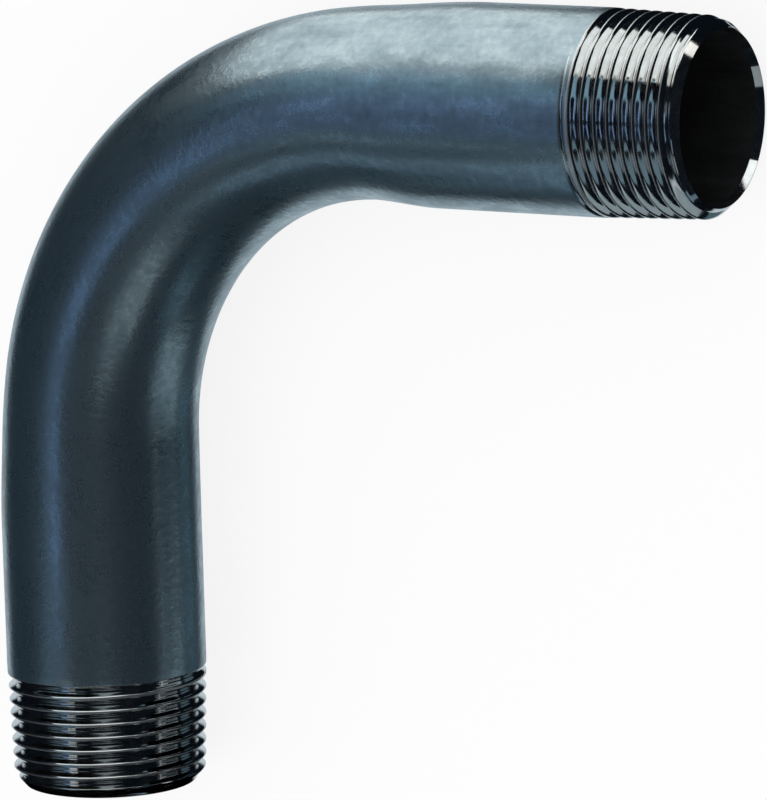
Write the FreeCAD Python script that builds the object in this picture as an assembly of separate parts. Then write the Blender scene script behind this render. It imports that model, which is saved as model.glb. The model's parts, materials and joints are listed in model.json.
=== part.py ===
import FreeCAD, Part
import math
import os

from FreeCAD import Placement, Rotation, Vector

# A quarter bend in steel tube, one piece, with a right-hand taper pipe thread cut on both ends.
# It lies flat on its side: the bend is in the XY plane, leg A runs towards -Y and leg B towards +X.
# The origin is under the middle of the bounding box, on the surface that the bend lies on.

# Tube and bend, in millimetres
TUBE_OD = 33.9
WALL = 3.0
BEND_RADIUS = 59.0      # of the centre line
LEG_A = 119.0           # from the point where the two centre lines would meet to the end face
LEG_B = 121.0

# Taper pipe thread
INCH = 25.4
THREADS_PER_INCH = 11.0
THREAD_ANGLE = 55.0     # between the two flanks, in degrees
TAPER = 1.0 / 16.0      # on the diameter
GAUGE_LENGTH = 10.4     # from the end face to the gauge plane
GAUGE_UNDERSIZE = 0.651  # how much the crests there are smaller across than the tube
THREAD_LENGTH = 16.8    # with roots at full depth
RUNOUT_TURNS = 1.65     # over which the groove then rises out, to end where the cone does
FLATS_PER_PITCH = 6.0   # crest and root are each one sixth of the pitch wide
FIRST_CREST_A = 1.21    # from the end face to the first crest, on the top line of leg A
FIRST_CREST_B = 0.57

# Ends, cut off, chamfered outside and reamed inside
CHAMFER_LENGTH = 2.2    # along the tube
REAM_DEPTH = 1.25
REAM_WIDTH = 0.45
EDGE_LAND = 0.1         # what is left of the end face between the reamed edge and the chamfer

CUTTER_OVERLAP = 0.12   # how far the thread cutter stands out of the crests
CUTTER_LEAD = 1.5       # turns by which the cutter starts ahead of the first crest
CUTTER_LAP = 0.03       # turns by which the full groove runs on into the run-out
CUT_TOLERANCE = 0.0001

OUTER_RADIUS = TUBE_OD / 2
BORE_RADIUS = OUTER_RADIUS - WALL
PITCH = INCH / THREADS_PER_INCH
THREAD_FLAT = PITCH / FLATS_PER_PITCH
FLANK_SLOPE = math.tan(math.radians(THREAD_ANGLE / 2))
THREAD_DEPTH = (PITCH - 2 * THREAD_FLAT) / 2 / FLANK_SLOPE
CONE_SLOPE = TAPER / 2
CONE_LENGTH = GAUGE_LENGTH + GAUGE_UNDERSIZE / TAPER

FULL_TURN = 360.0
QUARTER_TURN = 90.0
UP = Vector(0, 0, 1)


def crest_radius(depth):
    """Radius of the taper cone at a distance from the end face."""
    return OUTER_RADIUS - GAUGE_UNDERSIZE / 2 + (depth - GAUGE_LENGTH) * CONE_SLOPE


def root_radius(depth):
    """Radius at the bottom of the thread groove."""
    return crest_radius(depth) - THREAD_DEPTH


def leg_blank(length):
    """A straight leg before threading, along +Z from its end face to where the bend begins."""
    reamed = BORE_RADIUS + REAM_WIDTH
    section = [
        Vector(reamed, 0, 0),
        Vector(reamed + EDGE_LAND, 0, 0),
        Vector(crest_radius(CHAMFER_LENGTH), 0, CHAMFER_LENGTH),
        Vector(OUTER_RADIUS, 0, CONE_LENGTH),
        Vector(OUTER_RADIUS, 0, length),
        Vector(BORE_RADIUS, 0, length),
        Vector(BORE_RADIUS, 0, REAM_DEPTH),
    ]
    outline = Part.makePolygon(section + section[:1])
    return Part.Face(outline).revolve(Vector(), UP, FULL_TURN)


def groove_cutter(start, turns, radius, slope):
    """The space of a groove that starts on the +X side, with the given radius at its root."""
    height = THREAD_DEPTH + CUTTER_OVERLAP
    inner = THREAD_FLAT / 2
    outer = inner + height * FLANK_SLOPE
    corners = [
        Vector(radius, 0, start - inner),
        Vector(radius, 0, start + inner),
        Vector(radius + height, 0, start + outer),
        Vector(radius + height, 0, start - outer),
    ]
    path = Part.makeLongHelix(PITCH, turns * PITCH, radius, math.degrees(math.atan(slope)))
    path.translate(Vector(0, 0, start))
    sweep = Part.BRepOffsetAPI.MakePipeShell(path)
    sweep.setFrenetMode(True)
    sweep.add(Part.makePolygon(corners + corners[:1]))
    sweep.build()
    sweep.makeSolid()
    return sweep.shape()


def threaded_leg(length, first_crest):
    """A leg with its thread. The +X side of this shape becomes the top line of the part."""
    start = first_crest - CUTTER_LEAD * PITCH
    turns = (THREAD_LENGTH - start) / PITCH
    groove = groove_cutter(start, turns + CUTTER_LAP, root_radius(start), CONE_SLOPE)
    rise = (OUTER_RADIUS - root_radius(THREAD_LENGTH)) / (RUNOUT_TURNS * PITCH)
    runout = groove_cutter(THREAD_LENGTH, RUNOUT_TURNS, root_radius(THREAD_LENGTH), rise)
    runout.rotate(Vector(), UP, turns * FULL_TURN)
    return leg_blank(length).cut(groove).cut([runout], CUT_TOLERANCE)


def half_circles(radius):
    """The tube's circle at the start of the bend, as an outer and an inner half."""
    top = Vector(0, 0, radius)
    outer = Part.Arc(-top, Vector(-radius, 0, 0), top).toShape()
    inner = Part.Arc(top, Vector(radius, 0, 0), -top).toShape()
    return Part.Wire([outer, inner])


def quarter_bend():
    """The bent stretch of tube, from the end of leg A to the end of leg B."""
    wall = Part.Face([half_circles(OUTER_RADIUS), half_circles(BORE_RADIUS)])
    wall.translate(Vector(0, -BEND_RADIUS, 0))
    return wall.revolve(Vector(BEND_RADIUS, -BEND_RADIUS, 0), UP, -QUARTER_TURN)


def pipe_bend():
    """The whole piece, with the two centre lines meeting at the origin."""
    leg_a = threaded_leg(LEG_A - BEND_RADIUS, FIRST_CREST_A)
    leg_b = threaded_leg(LEG_B - BEND_RADIUS, FIRST_CREST_B)
    along_y = Rotation(UP, Vector(1, 0, 0), Vector(0, 1, 0), "ZXY")
    along_minus_x = Rotation(UP, Vector(0, 1, 0), Vector(-1, 0, 0), "ZXY")
    leg_a.Placement = Placement(Vector(0, -LEG_A, 0), along_y)
    leg_b.Placement = Placement(Vector(LEG_B, 0, 0), along_minus_x)
    return quarter_bend().fuse([leg_a, leg_b])


def place(shape):
    """Move the piece so that it lies on Z = 0 with the origin under the middle of its box."""
    middle_x = (LEG_B - OUTER_RADIUS) / 2
    middle_y = (OUTER_RADIUS - LEG_A) / 2
    shape.translate(Vector(-middle_x, -middle_y, OUTER_RADIUS))
    return shape


def main():
    os.makedirs("parts", exist_ok=True)
    bend = place(pipe_bend())
    solid = bend.Solids[0]
    solid.exportStep("parts/pipe_bend.step")
    print("pipe_bend", "valid", bend.isValid(), "solids", len(bend.Solids), "volume", round(solid.Volume))


main()
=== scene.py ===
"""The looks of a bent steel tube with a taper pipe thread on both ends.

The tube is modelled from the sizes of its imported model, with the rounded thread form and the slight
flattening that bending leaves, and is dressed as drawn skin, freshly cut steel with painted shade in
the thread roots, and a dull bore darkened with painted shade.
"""
import json
import logging
import math
from dataclasses import dataclass
from enum import Enum

import bpy
import numpy as np
from mathutils import Matrix, Vector

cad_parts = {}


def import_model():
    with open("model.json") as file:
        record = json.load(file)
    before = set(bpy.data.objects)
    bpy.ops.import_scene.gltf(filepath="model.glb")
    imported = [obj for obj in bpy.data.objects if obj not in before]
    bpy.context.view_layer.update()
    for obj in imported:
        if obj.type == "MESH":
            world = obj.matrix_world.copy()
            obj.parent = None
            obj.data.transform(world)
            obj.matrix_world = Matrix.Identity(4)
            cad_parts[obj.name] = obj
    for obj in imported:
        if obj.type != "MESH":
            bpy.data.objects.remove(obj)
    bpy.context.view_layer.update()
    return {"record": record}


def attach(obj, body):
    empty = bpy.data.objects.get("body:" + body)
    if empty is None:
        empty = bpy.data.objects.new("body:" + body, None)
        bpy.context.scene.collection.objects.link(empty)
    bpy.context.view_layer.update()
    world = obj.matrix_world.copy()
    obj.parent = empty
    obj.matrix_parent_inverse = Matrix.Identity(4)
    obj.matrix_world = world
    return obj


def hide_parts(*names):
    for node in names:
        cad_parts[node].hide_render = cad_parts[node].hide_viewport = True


LOG = logging.getLogger("pipe_bend")
MM = 0.001
INCH = 25.4 * MM
FULL_TURN = 2 * math.pi
QUARTER_TURN = math.pi / 2
CUT_TOLERANCE = 1e-7  # in metres, for a cut through a mesh
TINY = 1e-9  # in metres, the least length that anything is divided by
RECORD_PLACES = 4  # decimals of a metre, so tenths of a millimetre
NOISE_ROUGHNESS = 0.6
NODE = "pipe_bend"
PLACE = "tube_place"
CREST = "crest_share"

Colour = tuple[float, float, float, float]
Range = tuple[float, float]
WHITE: Colour = (1.0, 1.0, 1.0, 1.0)
COOL_WHITE: Colour = (0.96, 1.0, 1.0, 1.0)
COOL_GREY: Colour = (0.14, 0.21, 0.26, 1.0)
BLACK: Colour = (0.0, 0.0, 0.0, 1.0)
UNIT: Range = (0.0, 1.0)
MARK_SPAN: Range = (0.2, 0.8)  # of a mask of marks, over which the roughness changes


class Leg(Enum):
    """The two straight legs of the tube."""

    A = "a"
    B = "b"


class Finish(Enum):
    """The finishes of the piece, in the order of its material slots."""

    SKIN = 0
    CUT = 1
    BORE = 2


def smooth_step(value: np.ndarray) -> np.ndarray:
    """Rise smoothly from 0 to 1.

    Args:
        value: Any numbers. Below 0 they give 0, and above 1 they give 1.

    Returns:
        The eased numbers.
    """
    held = np.clip(value, 0.0, 1.0)
    return held * held * (3.0 - 2.0 * held)


def smooth_min(first: np.ndarray, second: np.ndarray, blend: float) -> np.ndarray:
    """Take the lower of two heights, with the corner between them rounded.

    Args:
        first: One height.
        second: The other height.
        blend: Difference in height below which the two are blended.

    Returns:
        The rounded lower height.
    """
    near = np.maximum(blend - np.abs(first - second), 0.0)
    return np.minimum(first, second) - near * near / (4.0 * blend)


def start_mesh(name: str) -> bpy.types.Object:
    """Name the primitive that was just added, and open it in edit mode with all of it selected.

    Args:
        name: Name of the object.

    Returns:
        The object.
    """
    obj = bpy.context.object
    obj.name = obj.data.name = name
    bpy.ops.object.mode_set(mode="EDIT")
    bpy.ops.mesh.select_all(action="SELECT")
    return obj


def extrude(step: Vector) -> None:
    """Extrude what is selected by a step."""
    bpy.ops.mesh.extrude_region_move(TRANSFORM_OT_translate={"value": step})


def coordinates(mesh: bpy.types.Mesh) -> np.ndarray:
    """Give the mesh's points as an array.

    Args:
        mesh: Any mesh.

    Returns:
        The points, with one row a point.
    """
    places = np.empty(len(mesh.vertices) * 3)
    mesh.vertices.foreach_get("co", places)
    return places.reshape(-1, 3)


@dataclass(frozen=True)
class TubeSizes:
    """Sizes and places of the bent tube, in metres."""

    radius: float
    bend_radius: float
    end_a: Vector
    end_b: Vector
    centre: Vector
    wall: float = 3.0 * MM

    @classmethod
    def from_record(cls, record: dict) -> "TubeSizes":
        """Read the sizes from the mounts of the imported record.

        Args:
            record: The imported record.

        Returns:
            The sizes.
        """
        mounts = {mount["name"]: mount for mount in record["mounts"]}
        end_a, end_b = (Vector(mounts[f"thread_{leg.value}"]["pos_m"]) for leg in Leg)
        pin = mounts["tube_a"]
        tangent = pin["pos_m"][1] + pin["dims"]["length_mm"] * MM / 2
        bend_radius = round(end_b.y - tangent, RECORD_PLACES)
        centre = Vector((end_a.x + bend_radius, end_b.y - bend_radius, end_a.z))
        return cls(pin["dims"]["r_mm"] * MM, bend_radius, end_a, end_b, centre)

    @property
    def bore(self) -> float:
        """Radius of the bore."""
        return self.radius - self.wall

    @property
    def straight_a(self) -> float:
        """Length of leg A, from its end face to the bend."""
        return self.centre.y - self.end_a.y

    @property
    def straight_b(self) -> float:
        """Length of leg B, from its end face to the bend."""
        return self.end_b.x - self.centre.x

    @property
    def arc(self) -> float:
        """Length of the bend along its centre line."""
        return self.bend_radius * QUARTER_TURN


@dataclass(frozen=True)
class ThreadForm:
    """The right-hand taper pipe thread of one end, with its crests and roots rounded."""

    first_crest: float
    pitch: float = INCH / 11
    half_angle: float = math.radians(27.5)
    depth: float = 1.479 * MM
    root_round: float = 0.317 * MM
    crest_blend: float = 0.45 * MM
    slope: float = 1 / 32
    gauge_length: float = 10.4 * MM
    gauge_undersize: float = 0.3255 * MM
    full_length: float = 18.5 * MM
    runout_turns: float = 0.75
    chamfer_length: float = 2.2 * MM
    rim_radius: float = 14.5 * MM
    plain_start: float = 21.7 * MM
    lead_turns: int = 2
    crest_half: float = 0.50 * MM
    crest_steps: int = 6
    flank_steps: int = 2
    root_steps: int = 4

    @property
    def root_half(self) -> float:
        """Distance from the middle of the groove to where its rounded root meets the flank."""
        return self.root_round * math.cos(self.half_angle)

    def crest(self, depth: np.ndarray, tube_radius: float) -> np.ndarray:
        """Radius of the cone that the crests lie on, at a depth from the end face."""
        return tube_radius - self.gauge_undersize + (depth - self.gauge_length) * self.slope

    def blank(self, depth: np.ndarray, tube_radius: float) -> np.ndarray:
        """Radius of the end before its groove is cut.

        Args:
            depth: Distance from the end face.
            tube_radius: Outer radius of the tube.

        Returns:
            The radius at each depth.
        """
        chamfer_top = self.crest(self.chamfer_length, tube_radius)
        rise = (chamfer_top - self.rim_radius) / self.chamfer_length
        cone = np.minimum(self.crest(depth, tube_radius), tube_radius)
        return np.minimum(self.rim_radius + np.maximum(depth, 0.0) * rise, cone)

    def root(self, depth: np.ndarray, tube_radius: float) -> np.ndarray:
        """Radius at the bottom of the groove, which rises out of the tube past the full thread.

        Args:
            depth: Distance of the groove from the end face.
            tube_radius: Outer radius of the tube.

        Returns:
            The radius at each depth.
        """
        deepest = self.crest(self.full_length, tube_radius) - self.depth
        rise = (tube_radius - deepest) / (self.runout_turns * self.pitch)
        full = self.crest(depth, tube_radius) - self.depth
        return np.where(depth < self.full_length, full, deepest + (depth - self.full_length) * rise)

    def flank(self, offset: np.ndarray) -> np.ndarray:
        """Height above the root of the rounded groove and its flank.

        Args:
            offset: Distance from the middle of the groove.

        Returns:
            The height at each distance.
        """
        rounded = np.minimum(offset, self.root_half)
        rise = self.root_round - np.sqrt(self.root_round**2 - rounded**2)
        return rise + np.maximum(offset - self.root_half, 0.0) / math.tan(self.half_angle)

    def radius(self, depth: np.ndarray, angle: np.ndarray, tube: float) -> np.ndarray:
        """Radius of the threaded end.

        Args:
            depth: Distance from the end face.
            angle: Right-hand angle from the top line, looking into the tube.
            tube: Outer radius of the tube.

        Returns:
            The radius at each place.
        """
        turns = angle / FULL_TURN
        crest_number = np.floor((depth - self.first_crest) / self.pitch - turns)
        surface = self.blank(depth, tube)
        for neighbour in (-1, 0, 1):
            groove = self.first_crest + self.pitch * (crest_number + 0.5 + neighbour + turns)
            bottom = self.root(groove, tube)
            cut = bottom + self.flank(np.abs(depth - groove))
            surface = smooth_min(surface, cut, self.crest_blend)
        return surface

    def stations(self) -> list[float]:
        """Steps along one pitch from crest to crest, closer together at the crest and the root.

        Returns:
            The steps, which add up to the pitch.
        """
        flank = self.pitch / 2 - self.crest_half - self.root_half
        half = [self.crest_half / self.crest_steps] * self.crest_steps
        half += [flank / self.flank_steps] * self.flank_steps
        half += [self.root_half / self.root_steps] * self.root_steps
        return half + half[::-1]


@dataclass(frozen=True)
class Flattening:
    """How bending has flattened the tube, as shares of its radius and as lengths along it."""

    outer: float = 0.0763
    inner: float = 0.053
    upper: float = 0.0082
    outer_start: float = -15.1 * MM
    outer_rise: float = 23.7 * MM
    outer_end: float = -18.1 * MM
    outer_fall: float = 24.3 * MM
    inner_start: float = 12.1 * MM
    inner_rise: float = 70.0 * MM
    inner_end: float = -11.1 * MM
    inner_fall: float = 12.7 * MM

    def shares(self, along: np.ndarray, arc: float) -> tuple[np.ndarray, np.ndarray]:
        """Say how far the two sides are flattened.

        Args:
            along: Distance along the tube from the start of the bend.
            arc: Length of the bend.

        Returns:
            The share of the full flattening, on the outer and on the inner side.
        """
        outer = smooth_step((along - self.outer_start) / self.outer_rise)
        outer *= smooth_step((arc - self.outer_end - along) / self.outer_fall)
        inner = smooth_step((along - self.inner_start) / self.inner_rise)
        inner *= smooth_step((arc - self.inner_end - along) / self.inner_fall)
        return outer, inner


@dataclass
class BentTube:
    """The one piece of the object: a bent tube that is threaded on both ends."""

    sizes: TubeSizes
    thread_a: ThreadForm = ThreadForm(first_crest=1.21 * MM)
    thread_b: ThreadForm = ThreadForm(first_crest=0.57 * MM)
    flattening: Flattening = Flattening()
    segments: int = 128
    leg_rows: int = 18
    bend_rows: int = 64
    plain_share: float = 0.9
    ream_depth: float = 1.25 * MM
    ream_width: float = 0.45 * MM
    cut_threshold: float = 0.038 * MM
    merge_distance: float = 0.002 * MM
    winding_tolerance: float = 0.001 * MM
    sharp_angle: float = math.radians(38)

    @property
    def threads(self) -> dict[Leg, ThreadForm]:
        """The thread of each leg."""
        return {Leg.A: self.thread_a, Leg.B: self.thread_b}

    def leg_frame(self, leg: Leg) -> Matrix:
        """Place of a leg: Z runs from the end face into the leg, and X points up.

        Args:
            leg: The leg.

        Returns:
            The frame of the leg, with its origin in the middle of the end face.
        """
        up = Vector((0, 0, 1))
        side, inward, end = {
            Leg.A: (Vector((1, 0, 0)), Vector((0, 1, 0)), self.sizes.end_a),
            Leg.B: (Vector((0, 1, 0)), Vector((-1, 0, 0)), self.sizes.end_b),
        }[leg]
        turn = Matrix((up, side, inward)).transposed()
        return Matrix.Translation(end) @ turn.to_4x4()

    def threaded_end(self, leg: Leg) -> bpy.types.Object:
        """Model the outside of a threaded end, from its rim to where the plain tube starts.

        Args:
            leg: The leg that it belongs to.

        Returns:
            The open mesh, in place.
        """
        form = self.threads[leg]
        start = form.first_crest - form.lead_turns * form.pitch
        bpy.ops.object.select_all(action="DESELECT")
        bpy.ops.mesh.primitive_plane_add(size=form.pitch)
        obj = start_mesh(f"thread_{leg.value}")
        bpy.ops.mesh.merge(type="CENTER")
        bpy.ops.transform.translate(value=(self.sizes.radius, 0, start))
        for step in form.stations():
            bpy.ops.mesh.extrude_vertices_move(TRANSFORM_OT_translate={"value": (0, 0, step)})
        bpy.ops.object.mode_set(mode="OBJECT")
        winding = obj.modifiers.new("winding", "SCREW")
        winding.angle = FULL_TURN
        winding.screw_offset = form.pitch
        winding.steps = winding.render_steps = self.segments
        winding.iterations = math.ceil((form.plain_start - start) / form.pitch) + 1
        winding.use_merge_vertices = True
        winding.merge_threshold = self.winding_tolerance
        bpy.ops.object.modifier_apply(modifier=winding.name)
        bpy.ops.object.mode_set(mode="EDIT")
        bpy.ops.mesh.select_all(action="SELECT")
        bpy.ops.mesh.remove_doubles(threshold=self.merge_distance)
        for depth, side in ((0.0, 1), (form.plain_start, -1)):
            bpy.ops.mesh.select_all(action="SELECT")
            bpy.ops.mesh.bisect(
                plane_co=(0, 0, depth), plane_no=(0, 0, side), clear_inner=True, threshold=CUT_TOLERANCE
            )
        bpy.ops.object.mode_set(mode="OBJECT")
        self.cut_thread(obj.data, form)
        obj.data.transform(self.leg_frame(leg))
        return obj

    def cut_thread(self, mesh: bpy.types.Mesh, form: ThreadForm) -> None:
        """Move each point of a plain end to the threaded surface.

        Points of the two cut edges also move to the nearest lengthwise line of the mesh, where the
        rings of the other surfaces have theirs.

        Args:
            mesh: The end, about its own Z axis.
            form: Its thread.
        """
        places = coordinates(mesh)
        angle = np.mod(np.arctan2(places[:, 1], places[:, 0]), FULL_TURN)
        step = FULL_TURN / self.segments
        for cut_depth in (0.0, form.plain_start):
            on_cut = np.abs(places[:, 2] - cut_depth) < self.merge_distance
            angle = np.where(on_cut, np.round(angle / step) * step, angle)
        radius = form.radius(places[:, 2], angle, self.sizes.radius)
        places[:, 0] = radius * np.cos(angle)
        places[:, 1] = radius * np.sin(angle)
        mesh.vertices.foreach_set("co", places.ravel())

    def ring(self, name: str, radius: float, depth: float) -> bpy.types.Object:
        """Add a circle across leg A and open it in edit mode.

        Args:
            name: Name of the object.
            radius: Radius of the circle.
            depth: Distance from the end face of leg A.

        Returns:
            The object.
        """
        bpy.ops.object.select_all(action="DESELECT")
        bpy.ops.mesh.primitive_circle_add(vertices=self.segments, radius=radius)
        obj = start_mesh(name)
        bpy.ops.object.mode_set(mode="OBJECT")
        obj.data.transform(self.leg_frame(Leg.A) @ Matrix.Translation((0, 0, depth)))
        bpy.ops.object.mode_set(mode="EDIT")
        return obj

    def resize_ring(self, leg: Leg, centre: Vector, factor: float) -> None:
        """Change the selected ring's radius.

        Args:
            leg: The leg that the ring lies across.
            centre: Centre of the ring.
            factor: New radius over old radius.
        """
        value = (factor, 1, factor) if leg is Leg.A else (1, factor, factor)
        bpy.ops.transform.resize(value=value, center_override=centre)

    def sweep(self, start: float) -> None:
        """Extrude the selected ring through leg A, the bend and leg B.

        Args:
            start: Distance of the ring from the end face, and of the last ring from the other one.
        """
        sizes = self.sizes
        for _ in range(self.leg_rows):
            extrude(Vector((0, (sizes.straight_a - start) / self.leg_rows, 0)))
        bpy.ops.mesh.spin(
            steps=self.bend_rows, angle=QUARTER_TURN, center=sizes.centre, axis=(0, 0, 1)
        )
        for _ in range(self.leg_rows):
            extrude(Vector(((sizes.straight_b - start) / self.leg_rows, 0, 0)))

    def plain_outside(self) -> bpy.types.Object:
        """Model the outside between the two threads.

        Returns:
            The open mesh, in place.
        """
        obj = self.ring("outside", self.sizes.radius, self.thread_a.plain_start)
        self.sweep(self.thread_a.plain_start)
        bpy.ops.object.mode_set(mode="OBJECT")
        return obj

    def inside(self) -> bpy.types.Object:
        """Model the bore with its reamed ends and the rims around them.

        Returns:
            The open mesh, in place.
        """
        rim, bore = self.thread_a.rim_radius, self.sizes.bore
        mouth = bore + self.ream_width
        inward = Vector((0, self.ream_depth, 0))
        obj = self.ring("inside", rim, 0.0)
        extrude(Vector())
        self.resize_ring(Leg.A, self.sizes.end_a, mouth / rim)
        extrude(inward)
        self.resize_ring(Leg.A, self.sizes.end_a + inward, bore / mouth)
        self.sweep(self.ream_depth)
        extrude(Vector((self.ream_depth, 0, 0)))
        self.resize_ring(Leg.B, self.sizes.end_b, mouth / bore)
        extrude(Vector())
        self.resize_ring(Leg.B, self.sizes.end_b, rim / mouth)
        bpy.ops.object.mode_set(mode="OBJECT")
        return obj

    def join(self, parts: list[bpy.types.Object]) -> bpy.types.Object:
        """Join the surfaces into one closed shell.

        Args:
            parts: The open surfaces, which share their edge rings. The first one keeps its object.

        Returns:
            The joined object.
        """
        bpy.ops.object.select_all(action="DESELECT")
        for part in parts:
            part.select_set(True)
        bpy.context.view_layer.objects.active = parts[0]
        bpy.ops.object.join()
        obj = parts[0]
        bpy.ops.object.mode_set(mode="EDIT")
        bpy.ops.mesh.select_all(action="SELECT")
        bpy.ops.mesh.remove_doubles(threshold=self.merge_distance)
        bpy.ops.mesh.normals_make_consistent(inside=False)
        bpy.ops.object.mode_set(mode="OBJECT")
        return obj

    def straightened(self, places: np.ndarray) -> np.ndarray:
        """Give each point's place on the tube if it were straight.

        Args:
            places: Points on the bent tube, one a row.

        Returns:
            Distance along the tube from the end face of leg A, distance outwards from the centre
            line in the plane of the bend, and height over that plane.
        """
        sizes = self.sizes
        x, y = places[:, 0] - sizes.centre.x, places[:, 1] - sizes.centre.y
        angle = np.clip(np.arctan2(np.maximum(y, 0.0), np.maximum(-x, 0.0)), 0.0, QUARTER_TURN)
        along = sizes.straight_a + sizes.bend_radius * angle
        along = np.where(y < 0, sizes.straight_a + y, along)
        along = np.where(x > 0, sizes.straight_a + sizes.arc + x, along)
        outward = np.hypot(np.minimum(x, 0.0), np.maximum(y, 0.0)) - sizes.bend_radius
        return np.stack([along, outward, places[:, 2] - sizes.centre.z], axis=1)

    def flatten(self, places: np.ndarray, straight: np.ndarray) -> None:
        """Move points of the round tube to where bending has left them.

        Args:
            places: The points, one a row, which change in place.
            straight: Straightened place of each point.
        """
        sizes = self.sizes
        outer, inner = self.flattening.shares(straight[:, 0] - sizes.straight_a, sizes.arc)
        out_side = 1.0 - self.flattening.outer * outer
        in_side = 1.0 - self.flattening.inner * inner
        widened = straight[:, 1] * (out_side + in_side) / 2 + sizes.radius * (out_side - in_side) / 2
        shift = widened - straight[:, 1]
        x, y = places[:, 0] - sizes.centre.x, places[:, 1] - sizes.centre.y
        outward = np.stack([np.minimum(x, 0.0), np.maximum(y, 0.0)], axis=1)
        outward /= np.maximum(np.linalg.norm(outward, axis=1), TINY)[:, None]
        places[:, :2] += outward * shift[:, None]
        places[:, 2] += np.maximum(straight[:, 2], 0.0) * self.flattening.upper * outer

    def finish_shape(self, obj: bpy.types.Object) -> None:
        """Flatten the bend, and keep on the mesh where each point lies and how high in the thread.

        Args:
            obj: The closed shell.
        """
        mesh = obj.data
        places = coordinates(mesh)
        straight = self.straightened(places)
        self.flatten(places, straight)
        mesh.vertices.foreach_set("co", places.ravel())
        place = mesh.attributes.new(PLACE, "FLOAT_VECTOR", "POINT")
        place.data.foreach_set("vector", straight.ravel())
        crest = mesh.attributes.new(CREST, "FLOAT", "POINT")
        crest.data.foreach_set("value", self.crest_share(straight))
        mesh.update()
        self.assign_finishes(mesh, straight)
        self.sharpen_mouths(mesh, straight)

    def sharpen_mouths(self, mesh: bpy.types.Mesh, straight: np.ndarray) -> None:
        """Keep the edges around both reamed mouths sharp.

        Args:
            mesh: The mesh.
            straight: Straightened place of each of its points.
        """
        depth = self.from_end(straight)
        radius = np.hypot(straight[:, 1], straight[:, 2])
        inside = radius < self.sizes.bore + self.ream_width + self.merge_distance
        outer_edge = inside & (depth < self.merge_distance)
        inner_edge = inside & (np.abs(depth - self.ream_depth) < self.merge_distance)
        for edge in mesh.edges:
            ends = list(edge.vertices)
            edge.use_edge_sharp = bool(outer_edge[ends].all() or inner_edge[ends].all())

    def from_end(self, straight: np.ndarray) -> np.ndarray:
        """Give each point's distance from the nearer end face."""
        total = self.sizes.straight_a + self.sizes.arc + self.sizes.straight_b
        return np.minimum(straight[:, 0], total - straight[:, 0])

    def crest_share(self, straight: np.ndarray) -> np.ndarray:
        """Say how high each point lies in the thread. Both threads have the same cone.

        Args:
            straight: Straightened place of each point.

        Returns:
            0 at the bottom of the groove, 1 at the crests, and a share between them elsewhere.
        """
        form, depth = self.thread_a, self.from_end(straight)
        radius = np.hypot(straight[:, 1], straight[:, 2])
        height = radius - form.crest(depth, self.sizes.radius) + form.depth
        share = np.clip(height / form.depth, 0.0, 1.0)
        threaded = (radius > self.sizes.bore + self.ream_width) & (depth < form.plain_start)
        return np.where(threaded, share, self.plain_share)

    def assign_finishes(self, mesh: bpy.types.Mesh, straight: np.ndarray) -> None:
        """Give each face its finish: skin, cut metal or bore.

        Args:
            mesh: The mesh.
            straight: Straightened place of each of its points.
        """
        sizes, depth = self.sizes, self.from_end(straight)
        radius = np.hypot(straight[:, 1], straight[:, 2])
        bare = (radius < sizes.radius - self.cut_threshold) & (depth < self.thread_a.plain_start)
        in_bore = (radius < sizes.bore + self.ream_width / 2) & (depth > self.ream_depth / 2)
        for polygon in mesh.polygons:
            corners = list(polygon.vertices)
            finish = Finish.CUT if bare[corners].all() else Finish.SKIN
            polygon.material_index = (Finish.BORE if in_bore[corners].all() else finish).value

    def build(self) -> bpy.types.Object:
        """Model the piece and put it in its place.

        Returns:
            The finished object, without its materials.
        """
        parts = [self.plain_outside(), self.inside()]
        parts += [self.threaded_end(leg) for leg in Leg]
        obj = self.join(parts)
        obj.name = obj.data.name = "bent_tube"
        self.finish_shape(obj)
        bpy.ops.object.shade_smooth_by_angle(angle=self.sharp_angle)
        triangles = sum(len(polygon.vertices) - 2 for polygon in obj.data.polygons)
        LOG.info("bent_tube has %d triangles", triangles)
        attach(obj, "root")
        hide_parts(NODE)
        return obj

    def dress(self, obj: bpy.types.Object) -> None:
        """Give the piece its finishes, in the order of their slots.

        Args:
            obj: The finished object.
        """
        marks = marks_group()
        for finish in (DrawnSkin(), CutSteel(), ShadedBoreSkin()):
            obj.data.materials.append(finish.material(marks))
            LOG.info("made the finish %s", finish.name)


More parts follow.
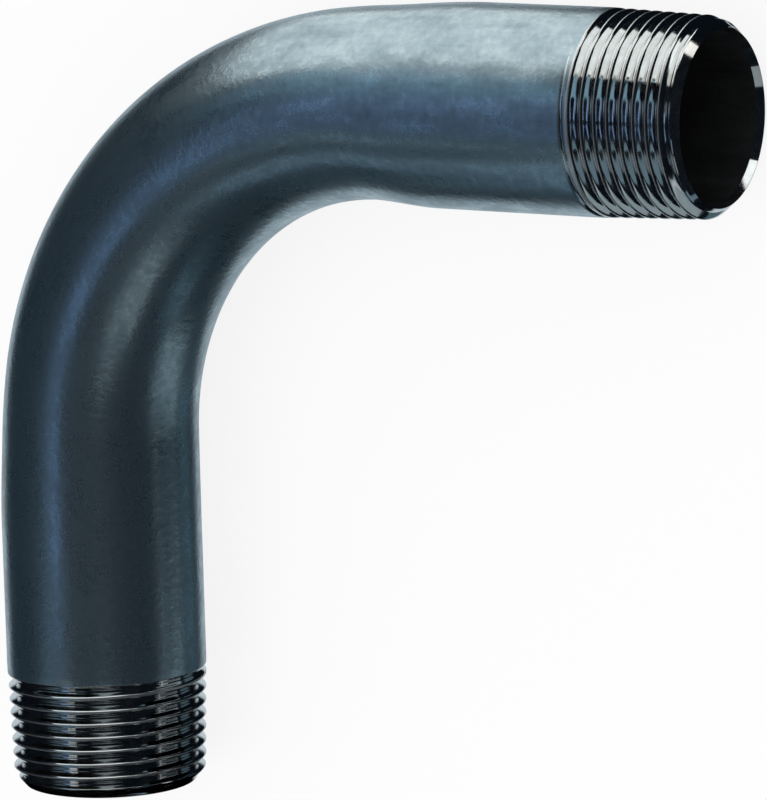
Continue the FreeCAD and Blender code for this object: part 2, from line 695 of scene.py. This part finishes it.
class Nodes:
    """A short way to write the nodes of one material, world or group."""

    def __init__(self, tree: bpy.types.NodeTree) -> None:
        """Keep the tree that nodes go to."""
        self.tree = tree

    def add(self, kind: str, values: dict | None = None, **settings: object) -> bpy.types.Node:
        """Add a node.

        Args:
            kind: Type of the node.
            values: Input names with their value, or with the output that feeds them.
            settings: Settings of the node itself.

        Returns:
            The node.
        """
        node = self.tree.nodes.new(kind)
        for name, setting in settings.items():
            setattr(node, name, setting)
        for name, value in (values or {}).items():
            self.feed(node.inputs[name], value)
        return node

    def feed(self, socket: bpy.types.NodeSocket, value: object) -> None:
        """Give an input its value, or link it to the output that feeds it.

        Args:
            socket: The input.
            value: A value, or the output of another node.
        """
        if isinstance(value, bpy.types.NodeSocket):
            self.tree.links.new(value, socket)
        else:
            socket.default_value = value

    def math(self, operation: str, first: object, second: object = 0.0) -> bpy.types.NodeSocket:
        """Add a math node and give its result."""
        return self.add("ShaderNodeMath", {0: first, 1: second}, operation=operation).outputs[0]

    def spread(self, value: object, source: Range, target: Range) -> bpy.types.NodeSocket:
        """Map a range to another one, held at its ends.

        Args:
            value: What is mapped.
            source: The range that it is mapped from.
            target: The range that it is mapped to.

        Returns:
            The mapped value.
        """
        inputs = {"Value": value, "From Min": source[0], "From Max": source[1]}
        inputs |= {"To Min": target[0], "To Max": target[1]}
        return self.add("ShaderNodeMapRange", inputs).outputs["Result"]

    def mix(self, factor: object, first: object, second: object) -> bpy.types.NodeSocket:
        """Mix two colours.

        Args:
            factor: Share of the second colour.
            first: First colour.
            second: Second colour.

        Returns:
            The mixed colour.
        """
        node = self.add("ShaderNodeMix", {"Factor": factor}, data_type="RGBA")
        colours = [socket for socket in node.inputs if socket.type == "RGBA"]
        for socket, value in zip(colours, (first, second)):
            self.feed(socket, value)
        return next(socket for socket in node.outputs if socket.type == "RGBA")

    def attribute(self, name: str, output: str) -> bpy.types.NodeSocket:
        """Read an attribute of the mesh."""
        return self.add("ShaderNodeAttribute", attribute_name=name).outputs[output]

    def bump(self, shader: bpy.types.Node, strength: float, distance: float, height: object) -> None:
        """Let a height bump the surface of a shader."""
        inputs = {"Strength": strength, "Distance": distance, "Height": height}
        self.feed(shader.inputs["Normal"], self.add("ShaderNodeBump", inputs).outputs["Normal"])


def shade(red: float, green: float, blue: float) -> Colour:
    """Write a colour with full alpha."""
    return (red, green, blue, 1.0)


def empty_material(name: str) -> tuple[bpy.types.Material, Nodes]:
    """Start a material that has no nodes yet.

    Args:
        name: Name of the material.

    Returns:
        The material and its nodes.
    """
    made = bpy.data.materials.new(name)
    made.use_nodes = True
    made.node_tree.nodes.clear()
    return made, Nodes(made.node_tree)


def metal(name: str, metallic: float) -> tuple[bpy.types.Material, Nodes, bpy.types.Node]:
    """Start a metal finish.

    Args:
        name: Name of the material.
        metallic: How much of the surface is bare metal, and not oxide.

    Returns:
        The material, its nodes and its surface shader.
    """
    made = bpy.data.materials.new(name)
    made.use_nodes = True
    surface = made.node_tree.nodes["Principled BSDF"]
    surface.inputs["Metallic"].default_value = metallic
    return made, Nodes(made.node_tree), surface


def marks_group() -> bpy.types.NodeTree:
    """Make the effect of uneven marks on the tube's surface, which every finish uses.

    A stretch over 1 draws the marks out along the tube, and one far below 1 makes rings around it.

    Returns:
        The group, with the inputs Size in millimetres, Stretch, Detail and Contrast, and the output
        Mask, which lies around one half.
    """
    group = bpy.data.node_groups.new("surface_marks", "ShaderNodeTree")
    for name in ("Size", "Stretch", "Detail", "Contrast"):
        group.interface.new_socket(name, in_out="INPUT", socket_type="NodeSocketFloat")
    group.interface.new_socket("Mask", in_out="OUTPUT", socket_type="NodeSocketFloat")
    nodes = Nodes(group)
    given = nodes.add("NodeGroupInput").outputs
    split = nodes.add("ShaderNodeSeparateXYZ", {0: nodes.attribute(PLACE, "Vector")}).outputs
    along = nodes.math("DIVIDE", split["X"], given["Stretch"])
    place = nodes.add("ShaderNodeCombineXYZ", {0: along, 1: split["Y"], 2: split["Z"]}).outputs[0]
    inputs = {"Vector": place, "Scale": nodes.math("DIVIDE", 1.0 / MM, given["Size"])}
    inputs |= {"Detail": given["Detail"], "Roughness": NOISE_ROUGHNESS}
    noise = nodes.add("ShaderNodeTexNoise", inputs)
    offset = nodes.math("SUBTRACT", noise.outputs["Fac"], 0.5)
    strong = nodes.math("MULTIPLY", offset, given["Contrast"])
    mask = nodes.add("ShaderNodeMath", {0: strong, 1: 0.5}, operation="ADD", use_clamp=True)
    nodes.add("NodeGroupOutput", {"Mask": mask.outputs[0]})
    return group


@dataclass(frozen=True)
class Marks:
    """One layer of the shared marks, with its own values."""

    size: float
    stretch: float
    detail: float
    contrast: float

    def place(self, nodes: Nodes, group: bpy.types.NodeTree) -> bpy.types.NodeSocket:
        """Place the group in a material, with this layer's values.

        Args:
            nodes: Nodes of the material.
            group: The shared group of marks.

        Returns:
            The mask.
        """
        node = nodes.add("ShaderNodeGroup", node_tree=group)
        values = {"Size": self.size, "Stretch": self.stretch}
        values |= {"Detail": self.detail, "Contrast": self.contrast}
        for name, value in values.items():
            node.inputs[name].default_value = value
        return node.outputs["Mask"]


@dataclass(frozen=True)
class DrawnSkin:
    """The outside of the tube: dull blue-grey steel with clouds, streaks along it and fine ripples."""

    name: str = "drawn_skin"
    pale: Colour = shade(0.51, 0.60, 0.63)
    dull: Colour = shade(0.24, 0.31, 0.35)
    film: Colour = shade(0.08, 0.40, 0.70)
    film_share: float = 0.025
    clouds: Marks = Marks(5.0, 1.5, 5.0, 3.2)
    streaks: Marks = Marks(1.3, 14.0, 3.0, 2.4)
    ripples: Marks = Marks(1.7, 0.8, 3.0, 2.6)
    shares: tuple[float, float, float] = (0.45, 0.18, 0.37)
    roughness: Range = (0.34, 0.24)
    bump: float = 0.8
    bump_height: float = 0.026 * MM

    def material(self, marks: bpy.types.NodeTree) -> bpy.types.Material:
        """Build the material.

        Args:
            marks: The shared group of marks.

        Returns:
            The material, with a thin share of blue oxide film over the metal.
        """
        made, nodes, surface = metal(self.name, 1.0)
        masks = [layer.place(nodes, marks) for layer in (self.clouds, self.streaks, self.ripples)]
        parts = [nodes.math("MULTIPLY", mask, share) for mask, share in zip(masks, self.shares)]
        tone = nodes.math("ADD", nodes.math("ADD", parts[0], parts[1]), parts[2])
        nodes.feed(surface.inputs["Base Color"], nodes.mix(tone, self.dull, self.pale))
        nodes.feed(surface.inputs["Roughness"], nodes.spread(tone, MARK_SPAN, self.roughness))
        nodes.bump(surface, self.bump, self.bump_height, masks[2])
        film = nodes.add("ShaderNodeBsdfDiffuse", {"Color": self.film}).outputs[0]
        layers = {0: self.film_share, 1: surface.outputs[0], 2: film}
        both = nodes.add("ShaderNodeMixShader", layers).outputs[0]
        nodes.feed(made.node_tree.nodes["Material Output"].inputs["Surface"], both)
        return made


@dataclass(frozen=True)
class CutSteel:
    """Freshly cut metal, on threads, chamfers and rims, with turning rings, rougher crests and painted
    shade in its roots.
    """

    name: str = "cut_steel"
    bright: Colour = shade(0.82, 0.84, 0.84)
    worn: Colour = shade(0.70, 0.71, 0.70)
    # painted shade: groove is the darker colour painted at the bottom of the thread's grooves
    groove: Colour = shade(0.68, 0.68, 0.67)
    rings: Marks = Marks(9.0, 0.016, 3.0, 2.5)
    smears: Marks = Marks(2.5, 1.0, 4.0, 2.2)
    # painted shade: over this span of crest share the colour lightens from groove at the roots to bare
    # metal
    root_shade_span: Range = (0.0, 0.35)
    torn: Range = (0.93, 0.99)
    crest_roughness: float = 0.30
    roughness: Range = (0.12, 0.05)
    bump: float = 0.03
    bump_height: float = 0.01 * MM

    def material(self, marks: bpy.types.NodeTree) -> bpy.types.Material:
        """Build the material.

        Args:
            marks: The shared group of marks.

        Returns:
            The material.
        """
        made, nodes, surface = metal(self.name, 1.0)
        rings, smears = self.rings.place(nodes, marks), self.smears.place(nodes, marks)
        height = nodes.attribute(CREST, "Fac")
        # painted shade: the colour grows darker towards the bottom of the grooves
        beyond_root_shade = nodes.spread(height, self.root_shade_span, UNIT)
        bare = nodes.mix(smears, self.worn, self.bright)
        nodes.feed(surface.inputs["Base Color"], nodes.mix(beyond_root_shade, self.groove, bare))
        smooth = nodes.spread(smears, MARK_SPAN, self.roughness)
        rough = nodes.spread(height, self.torn, (0.0, self.crest_roughness))
        nodes.feed(surface.inputs["Roughness"], nodes.math("ADD", smooth, rough))
        nodes.bump(surface, self.bump, self.bump_height, rings)
        return made


@dataclass(frozen=True)
class ShadedBoreSkin:
    """The dull skin inside the tube, darkened further with painted shade."""

    name: str = "shaded_bore_skin"
    metallic: float = 0.90
    # painted shade: these colours are far darker than the outer skin, as shade inside the tube over its
    # dull skin
    pale: Colour = shade(0.10, 0.105, 0.11)
    dull: Colour = shade(0.04, 0.043, 0.046)
    patches: Marks = Marks(5.0, 3.0, 5.0, 2.2)
    grain: Marks = Marks(0.6, 2.0, 3.0, 2.0)
    roughness: Range = (0.60, 0.45)
    bump: float = 0.4
    bump_height: float = 0.04 * MM

    def material(self, marks: bpy.types.NodeTree) -> bpy.types.Material:
        """Build the material.

        Args:
            marks: The shared group of marks.

        Returns:
            The material.
        """
        made, nodes, surface = metal(self.name, self.metallic)
        patches, grain = self.patches.place(nodes, marks), self.grain.place(nodes, marks)
        nodes.feed(surface.inputs["Base Color"], nodes.mix(patches, self.dull, self.pale))
        nodes.feed(surface.inputs["Roughness"], nodes.spread(grain, MARK_SPAN, self.roughness))
        nodes.bump(surface, self.bump, self.bump_height, grain)
        return made


@dataclass(frozen=True)
class Card:
    """A card that only the metal mirrors: it neither shows, nor lights the floor, nor throws a shadow.

    A bright card is a lamp or a wall, and a black one keeps the others off a stretch of the piece. The
    card stands in a direction from a point beside the middle of the piece, and faces that point. Angles
    are in degrees and lengths in metres.
    """

    name: str
    azimuth: float
    elevation: float
    distance: float
    width: float
    height: float
    colour: Colour
    strength: float
    roll: float = 0.0
    beside: tuple[float, float] = (0.0, 0.0)

    def add(self, middle: Vector) -> None:
        """Set the card up.

        Args:
            middle: Middle of the piece.
        """
        centre = middle + Vector((*self.beside, 0.0))
        azimuth, elevation = math.radians(self.azimuth), math.radians(self.elevation)
        level = Vector((math.cos(azimuth), math.sin(azimuth), 0)) * math.cos(elevation)
        towards = level + Vector((0, 0, math.sin(elevation)))
        bpy.ops.object.select_all(action="DESELECT")
        bpy.ops.mesh.primitive_plane_add(size=1.0)
        card = bpy.context.object
        card.name = self.name
        roll = Matrix.Rotation(math.radians(self.roll), 4, "Z")
        turn = towards.to_track_quat("Z", "Y").to_matrix().to_4x4() @ roll
        scale = Matrix.Diagonal((self.width, self.height, 1.0, 1.0))
        card.data.transform(Matrix.Translation(centre + towards * self.distance) @ turn @ scale)
        card.visible_camera = card.visible_diffuse = card.visible_shadow = False
        card.data.materials.append(self.glow())

    def glow(self) -> bpy.types.Material:
        """Build the card's own light.

        Returns:
            The material.
        """
        made, nodes = empty_material(self.name)
        light = nodes.add("ShaderNodeEmission", {"Color": self.colour, "Strength": self.strength})
        nodes.add("ShaderNodeOutputMaterial", {"Surface": light.outputs[0]})
        return made


@dataclass(frozen=True)
class Studio:
    """The floor, lamp, cards, surroundings and camera.

    The camera's place and lens are in millimetres and its turn in degrees. Other lengths are in metres.
    """

    centre: Vector
    camera_place: Vector = Vector((603.41, 202.86, 1013.07)).freeze()
    camera_turn: tuple[float, float, float] = (-10.618, 30.616, -1.890)
    camera_lens: float = 321.585
    camera_shift: tuple[float, float] = (-0.016563, -0.02963)
    camera_clip: Range = (0.05, 20.0)
    floor_size: float = 6.0
    floor_colour: Colour = shade(0.93, 0.93, 0.93)
    floor_white: float = 0.86
    lamp_place: Vector = Vector((-0.3, -0.4, 1.4)).freeze()
    lamp_size: float = 1.4
    lamp_power: float = 3.0
    surroundings: Colour = shade(0.92, 0.92, 0.92)
    mirrored_room: Colour = shade(0.003, 0.005, 0.008)
    mirrored_floor: Colour = shade(0.55, 0.63, 0.68)
    floor_side: Vector = Vector((-0.50, -0.30, -0.81)).freeze()
    floor_edge: Range = (0.79, 0.84)
    cards: tuple[Card, ...] = (
        Card("white_wall", 104, 2, 0.35, 0.45, 0.35, COOL_WHITE, 1.20),
        Card("wall_foot", 123, -32, 0.48, 0.24, 0.19, COOL_WHITE, 1.20),
        Card("upper_wall", 97.3, 33, 0.43, 0.29, 0.13, shade(1.0, 1.0, 0.97), 0.85, roll=10),
        Card("strip_b", 155, 59.3, 0.70, 0.27, 0.11, shade(0.38, 0.59, 1.0), 0.66, roll=11.5),
        Card("strip_a", 200.2, 61.1, 0.69, 0.22, 0.10, shade(0.36, 0.58, 1.0), 0.48, roll=13),
        Card("thread_lamp", 228.8, 47.2, 0.2057, 0.030, 0.036, shade(0.95, 1.0, 1.0), 1.2, roll=33),
        Card("haze_b", 129.2, 43.4, 0.62, 0.22, 0.27, shade(0.22, 0.38, 0.50), 1.0, roll=29),
        Card("patch_b", 120, 67, 0.634, 0.18, 0.20, shade(0.15, 0.20, 0.25), 1.0, roll=30),
        Card("front_wall", 61.6, 4.3, 0.2815, 0.08, 0.085, COOL_WHITE, 1.10),
        Card("side_glow", 322.5, -59.9, 0.291, 0.10, 0.10, shade(0.08, 0.13, 0.16), 1.0),
        Card("grey_wall", 232, 28, 0.45, 0.36, 0.42, shade(0.15, 0.225, 0.28), 1.0),
        Card("grey_side", 248, -2.4, 0.41, 0.085, 0.14, COOL_GREY, 1.0),
        Card("grey_foot", 291, -7, 0.40, 0.19, 0.14, COOL_GREY, 1.0),
        Card("ring_light", 293, 44, 0.466, 0.22, 0.22, shade(0.26, 0.30, 0.32), 1.0),
        Card("mouth_glow", 53, -6, 0.34, 0.05, 0.065, shade(1.0, 0.98, 0.94), 1.25),
        Card("low_front", 29, -18.5, 0.37, 0.10, 0.08, COOL_WHITE, 1.10),
        Card("low_side", 324, -25.6, 0.52, 0.26, 0.34, shade(0.25, 0.31, 0.34), 1.0),
        Card("edge_light", 337, -12, 0.26, 0.08, 0.012, shade(0.45, 0.50, 0.52), 1.0),
        Card("flag_b", 85, -48, 0.152, 0.062, 0.09, BLACK, 0.0),
        Card("flag_a", 270, 0, 0.085, 0.08, 0.11, BLACK, 0.0, beside=(-0.08, 0.0)),
        Card("flag_c", 68.8, 31.1, 0.11, 0.036, 0.028, BLACK, 0.0, roll=11),
        Card("flag_d", 270, -12, 0.087, 0.06, 0.05, BLACK, 0.0, beside=(-0.01, 0.0)),
        Card("flag_e", 270, 6.8, 1.0826, 0.08, 0.068, BLACK, 0.0, beside=(-0.08, 1.0)),
    )

    def add_floor(self) -> None:
        """Lay the pale floor."""
        bpy.ops.object.select_all(action="DESELECT")
        bpy.ops.mesh.primitive_plane_add(size=self.floor_size)
        floor = bpy.context.object
        floor.name = "floor"
        made, nodes = empty_material("floor")
        paint = nodes.add("ShaderNodeBsdfDiffuse", {"Color": self.floor_colour}).outputs[0]
        white = nodes.add("ShaderNodeEmission", {"Color": WHITE}).outputs[0]
        seen = nodes.add("ShaderNodeLightPath").outputs["Is Camera Ray"]
        share = nodes.math("MULTIPLY", seen, self.floor_white)
        both = nodes.add("ShaderNodeMixShader", {0: share, 1: paint, 2: white}).outputs[0]
        nodes.add("ShaderNodeOutputMaterial", {"Surface": both})
        floor.data.materials.append(made)
        floor.visible_glossy = False

    def add_lamp(self) -> None:
        """Hang the soft lamp that gives the floor its shadow."""
        data = bpy.data.lights.new("key", "AREA")
        data.size = self.lamp_size
        data.energy = self.lamp_power
        lamp = bpy.data.objects.new("key", data)
        lamp.location = self.lamp_place
        lamp.rotation_mode = "QUATERNION"
        lamp.rotation_quaternion = (self.lamp_place - self.centre).to_track_quat("Z", "Y")
        lamp.visible_glossy = False
        bpy.context.scene.collection.objects.link(lamp)

    def add_world(self) -> None:
        """Fill the room with pale light. The metal mirrors a dark room over a pale floor."""
        world = bpy.data.worlds.new("room")
        bpy.context.scene.world = world
        world.use_nodes = True
        world.node_tree.nodes.clear()
        nodes = Nodes(world.node_tree)
        direction = nodes.add("ShaderNodeTexCoord").outputs["Generated"]
        inputs = {0: direction, 1: self.floor_side}
        dot = nodes.add("ShaderNodeVectorMath", inputs, operation="DOT_PRODUCT")
        below = nodes.spread(dot.outputs["Value"], self.floor_edge, UNIT)
        mirrored = nodes.mix(below, self.mirrored_room, self.mirrored_floor)
        glossy = nodes.add("ShaderNodeLightPath").outputs["Is Glossy Ray"]
        colour = nodes.mix(glossy, self.surroundings, mirrored)
        back = nodes.add("ShaderNodeBackground", {"Color": colour})
        nodes.add("ShaderNodeOutputWorld", {"Surface": back.outputs[0]})

    def add_camera(self) -> None:
        """Set up the camera where the photograph was taken from."""
        data = bpy.data.cameras.new("camera")
        data.lens = self.camera_lens
        data.shift_x, data.shift_y = self.camera_shift
        data.clip_start, data.clip_end = self.camera_clip
        camera = bpy.data.objects.new("camera", data)
        camera.location = self.camera_place * MM
        camera.rotation_euler = [math.radians(angle) for angle in self.camera_turn]
        bpy.context.scene.collection.objects.link(camera)
        bpy.context.scene.camera = camera

    def build(self) -> None:
        """Set the whole studio up."""
        self.add_floor()
        self.add_world()
        self.add_lamp()
        for card in self.cards:
            card.add(self.centre)
            LOG.info("set up the card %s", card.name)
        self.add_camera()
        bpy.context.scene.view_settings.view_transform = "Standard"


def main() -> None:
    """Build the piece and its studio."""
    logging.basicConfig(level=logging.INFO, format="%(message)s")
    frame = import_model()
    sizes = TubeSizes.from_record(frame["record"])
    tube = BentTube(sizes)
    tube.dress(tube.build())
    Studio(Vector((0, 0, sizes.radius))).build()


if __name__ == "__main__":
    main()
